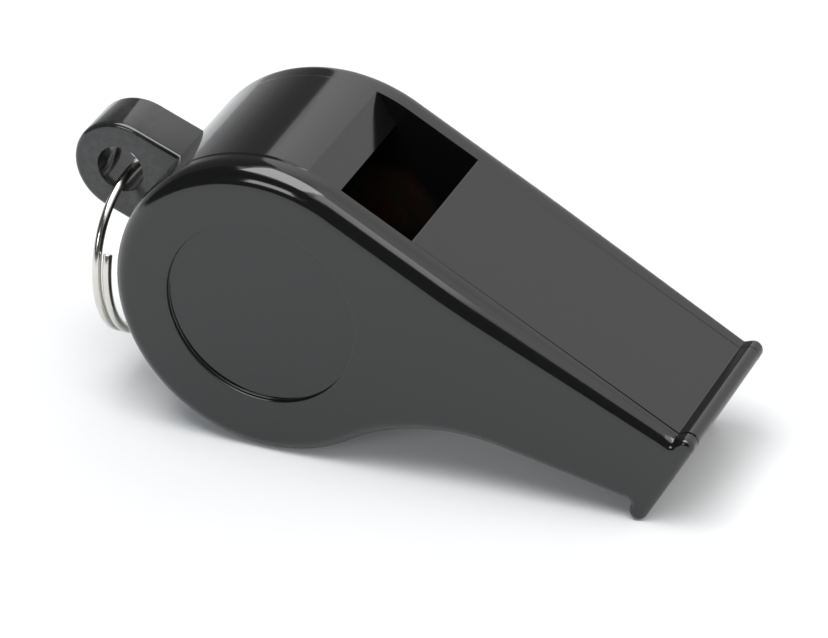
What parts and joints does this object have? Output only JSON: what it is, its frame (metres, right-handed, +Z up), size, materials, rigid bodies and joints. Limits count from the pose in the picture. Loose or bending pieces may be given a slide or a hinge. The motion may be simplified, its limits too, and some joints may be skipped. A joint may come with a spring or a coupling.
{
  "type": "pea whistle",
  "caption": "Black plastic pea whistle with a round barrel, sloping lipped mouthpiece, top window, loose cork ball and a split ring through the rear lug.",
  "frame": {"origin": "on the table, under the middle of the whistle's outline", "axes": "+X along the whistle towards the mouth, +Y to the blower's right, along the barrel's axis, +Z up from the table"},
  "size_m": [0.0512, 0.0168, 0.024],
  "materials": {
    "black_plastic": "moulded gloss",
    "cork": "raw cork",
    "nickel": "polished nickel plate"
  },
  "bodies": {
    "whistle": {"centre_body": "black_plastic", "left_side_plate": "black_plastic", "right_side_plate": "black_plastic"},
    "pea": {"cork_pea": "cork"},
    "ring": {"split_ring": "nickel"}
  },
  "joints": [
    {"name": "pea_orbit", "type": "hinge", "parent": "whistle", "child": "pea", "pos_m": [-0.0078, 0, 0.012], "axis": [0, 1, 0], "continuous": true},
    {"name": "ring_swing", "type": "hinge", "parent": "whistle", "child": "ring", "pos_m": [-0.02177, 0, 0.01788], "axis": [0, 1, 0], "range_deg": [-5, 233]}
  ]
}
